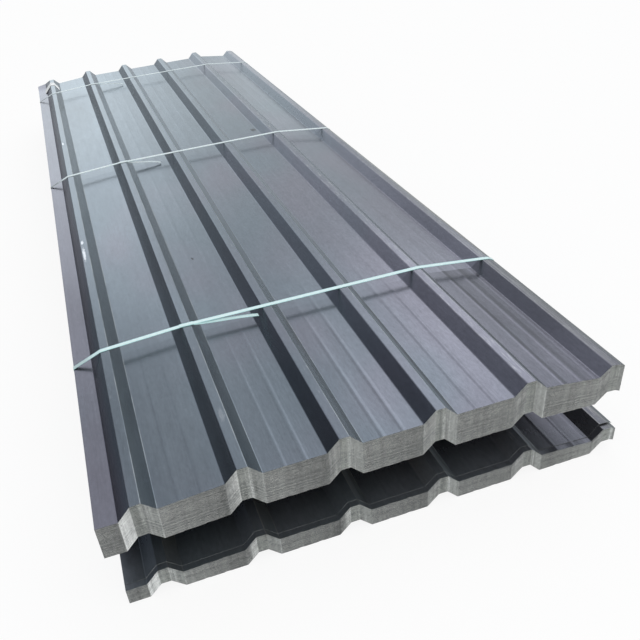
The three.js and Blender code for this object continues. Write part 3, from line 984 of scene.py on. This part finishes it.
def build_strip():
    """The strip folded over the first rib, tented a little at the rib's feet."""
    y = UPPER_HIGH.y - STRIP_FROM_FAR_END
    low, high = STRIP_REACH
    over_rib = [p for p in section_line(4) if low < p.x < high and p.y > RIB_DEPTH * STRIP_TENT]
    line = [Vector((low, 0)), *over_rib, Vector((high, RIB_DEPTH * (HALF_FOOT - high) / WEB))]
    path = [Vector((UPPER_FIRST_RIB + p.x, y - abs(p.x) * STRIP_SKEW[p.x > 0], p.y + STRIP_STAND))
            for p in at_level(line, UPPER_TOP, UPPER_DROOP[1])]
    strip = paths_object("folded_strip", [(path, False)])
    processed(strip, band_tree(), Width=STRIP_WIDTH, Thickness=STRIP_THICKNESS, Edge=STRIP_EDGE,
              Finish=pale_strip())
    curl_corner(strip)
    hand_over(strip, "strap")


# ---- bearers ----
def build_bearers():
    """Sawn square timbers with broken edges, a little out of true."""
    timber = sawn_timber()
    for seed, place in enumerate(("near", "middle", "far")):
        low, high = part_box(f"bearer_{place}")
        middle = (low + high) / 2
        half = (high - low) / 2
        shape = bmesh.new()
        bmesh.ops.create_cube(shape, size=2.0)
        long_edges = [e for e in shape.edges if abs(e.verts[0].co.x - e.verts[1].co.x) > 1]
        bmesh.ops.subdivide_edges(shape, edges=long_edges, cuts=BEARER_CUTS, use_grid_fill=True)
        for vertex in shape.verts:
            x, y, z = vertex.co
            waver = abs(noise.noise(Vector((x * 2.3, y * 5 + seed * 9, z * 5))))
            vertex.co = Vector((x * half.x, y * (half.y - waver * BEARER_WAVER), z * half.z)) + middle
        edges = [e for e in shape.edges if e.calc_face_angle(0) > 1]
        bmesh.ops.bevel(shape, geom=edges, offset=BEARER_CORNER, segments=2, affect="EDGES")
        mesh = bpy.data.meshes.new(f"{place}_bearer")
        shape.to_mesh(mesh)
        shape.free()
        own = mesh.attributes.new("own_place", "FLOAT_VECTOR", "POINT")
        turned = -1 if place == "middle" else 1
        for item, vertex in zip(own.data, mesh.vertices):
            offset = vertex.co - middle
            item.vector = (offset.x + seed * BEARER_APART, offset.y * turned, offset.z)
        mesh.shade_smooth()
        mesh.set_sharp_from_angle(angle=math.radians(30))
        mesh.materials.append(timber)
        bearer = new_object(f"{place}_bearer", mesh)
        hand_over(bearer, "timber", f"bearer_{place}")


# ---- studio ----
FLOOR_REACH = 30
FLOOR_SEEN = (0.97, 0.97, 0.97)  # by the camera
FLOOR_LIT = (0.20, 0.21, 0.225)  # that lights the stack, in the middle and on its sides
FLOOR_ON_LEFT = (0.125, 0.145, 0.185)
FLOOR_ON_RIGHT = (0.40, 0.40, 0.40)
FLOOR_FAR_RIGHT = (0.66, 0.66, 0.65)
FLOOR_IN_FRONT = (0.45, 0.45, 0.45)
FLOOR_BEYOND = (0.66, 0.68, 0.72)
FLOOR_GLOW = 0.88
WHITE = (1, 1, 1)
TINT_LOW = (0.93, 1.0, 1.03)
TINT_HIGH = (0.98, 1.0, 1.06)
TINT_WALL = (0.88, 0.96, 1.38)
TINT_BEHIND = (1.0, 1.0, 0.98)
SKY_OPEN = 0.85
SKY_LOW = 0.29               # share of it that is left just above the ground
SKY_OVERHEAD = 0.17
DARK_WALL = (-55.6, 12.9, 5.2)   # heading from +Y towards +X, height, sharpness
GLOWS = (                        # the same, with the strength first
    (1.50, 32.8, 35.7, 61.5),
    (1.50, -3.7, 19.6, 57.0),
    (0.80, 18.7, 8.5, 200.0),
)
SOFTBOX_PLACE = Vector((-0.4, -4.6, 0.36))
SOFTBOX_TARGET = Vector((0, -1.67, 0.2))
SOFTBOX_SIZE = (5.0, 0.6)
SOFTBOX_WATTS = 52


def facing(nodes, direction, heading, height, sharpness):
    """1 towards this heading and height in degrees, falling off around it."""
    heading, height = math.radians(heading), math.radians(height)
    towards = (math.sin(heading) * math.cos(height), math.cos(heading) * math.cos(height),
               math.sin(height))
    aligned = nodes.add("ShaderNodeVectorMath", {0: direction, 1: towards}, out="Value",
                        operation="DOT_PRODUCT")
    return aligned.at_least(0) ** sharpness


def build_world():
    """A soft sky, darker low down and to the left, with three glows beyond the far end. The camera
    sees it white."""
    world = bpy.data.worlds.new("studio")
    world.use_nodes = True
    bpy.context.scene.world = world
    nodes = Nodes(world.node_tree)
    direction = nodes.add("ShaderNodeTexCoord", out="Generated")
    y, z = nodes.parts(direction, "YZ")
    dark = facing(nodes, direction, *DARK_WALL)
    sky = SKY_OPEN * (1 - dark) * (SKY_LOW + (1 - SKY_LOW) * z.step(-0.02, 0.308))
    sky = sky + SKY_OVERHEAD * z.step(0.6, 1.0)
    for strength, heading, height, sharpness in GLOWS:
        sky = sky + strength * facing(nodes, direction, heading, height, sharpness)
    tint = nodes.mix(z.step(0.25, 0.60), TINT_LOW, TINT_HIGH)
    tint = nodes.mix(dark * dark, tint, TINT_WALL)
    tint = nodes.mix(y.step(-0.4, 0.6), TINT_BEHIND, tint)
    seen = nodes.add("ShaderNodeLightPath", out="Is Camera Ray")
    background = nodes.add("ShaderNodeBackground", {"Color": nodes.mix(seen, tint, WHITE),
                                                    "Strength": sky + seen * (1 - sky)})
    nodes.add("ShaderNodeOutputWorld", {"Surface": background})


def build_floor():
    """A floor that the camera sees almost white, with the stack's shadow, and that lights the stack
    in its own tones: dark at the left, lighter in front, at the right and beyond."""
    mesh = bpy.data.meshes.new("floor")
    corners = [(-1, -1), (1, -1), (1, 1), (-1, 1)]
    mesh.from_pydata([(x * FLOOR_REACH, y * FLOOR_REACH, 0) for x, y in corners], [], [(0, 1, 2, 3)])
    floor = new_object("floor", mesh)
    material, nodes = new_material("floor")
    x, y = nodes.parts(nodes.here(), "XY")
    on_right = nodes.mix(y.step(0.3, 1.2), FLOOR_ON_RIGHT, FLOOR_FAR_RIGHT)
    tone = nodes.mix(x.step(-0.9, -0.6), FLOOR_ON_LEFT, FLOOR_LIT)
    tone = nodes.mix(x.step(0.60, 0.85), tone, on_right)
    tone = nodes.mix(y.step(-1.85, -1.70), FLOOR_IN_FRONT, tone)
    tone = nodes.mix(y.step(1.2, 4.2), tone, FLOOR_BEYOND)
    seen = nodes.add("ShaderNodeLightPath", out="Is Camera Ray")
    diffuse = nodes.add("ShaderNodeBsdfDiffuse", {"Color": nodes.mix(seen, tone, FLOOR_SEEN)})
    glow = nodes.add("ShaderNodeEmission", {"Color": (*WHITE, 1), "Strength": 1.0})
    mixed = nodes.add("ShaderNodeMixShader", [seen * FLOOR_GLOW, diffuse, glow])
    nodes.add("ShaderNodeOutputMaterial", {"Surface": mixed})
    mesh.materials.append(material)


def build_light():
    """A wide low softbox in front, for the near ends."""
    light = bpy.data.lights.new("front softbox", "AREA")
    light.shape = "RECTANGLE"
    light.size, light.size_y = SOFTBOX_SIZE
    light.energy = SOFTBOX_WATTS
    lamp = new_object("front softbox", light)
    lamp.location = SOFTBOX_PLACE
    lamp.rotation_euler = (SOFTBOX_TARGET - SOFTBOX_PLACE).to_track_quat("-Z", "Y").to_euler()


def build_camera():
    lens = bpy.data.cameras.new("camera")
    lens.lens = CAMERA_LENS
    lens.sensor_width = 36
    lens.shift_x, lens.shift_y = CAMERA_SHIFT
    camera = new_object("camera", lens)
    turn = (Matrix.Rotation(math.radians(-CAMERA_HEADING), 3, "Z")
            @ Matrix.Rotation(math.radians(90 - CAMERA_DIP), 3, "X")
            @ Matrix.Rotation(math.radians(CAMERA_ROLL), 3, "Z"))
    camera.rotation_euler = turn.to_euler()
    camera.location = CAMERA_PLACE
    bpy.context.scene.camera = camera


build_camera()
build_world()
build_floor()
build_light()
build_sheets()
build_bearers()
build_straps()
build_strip()
bpy.context.scene.view_settings.view_transform = "Standard"
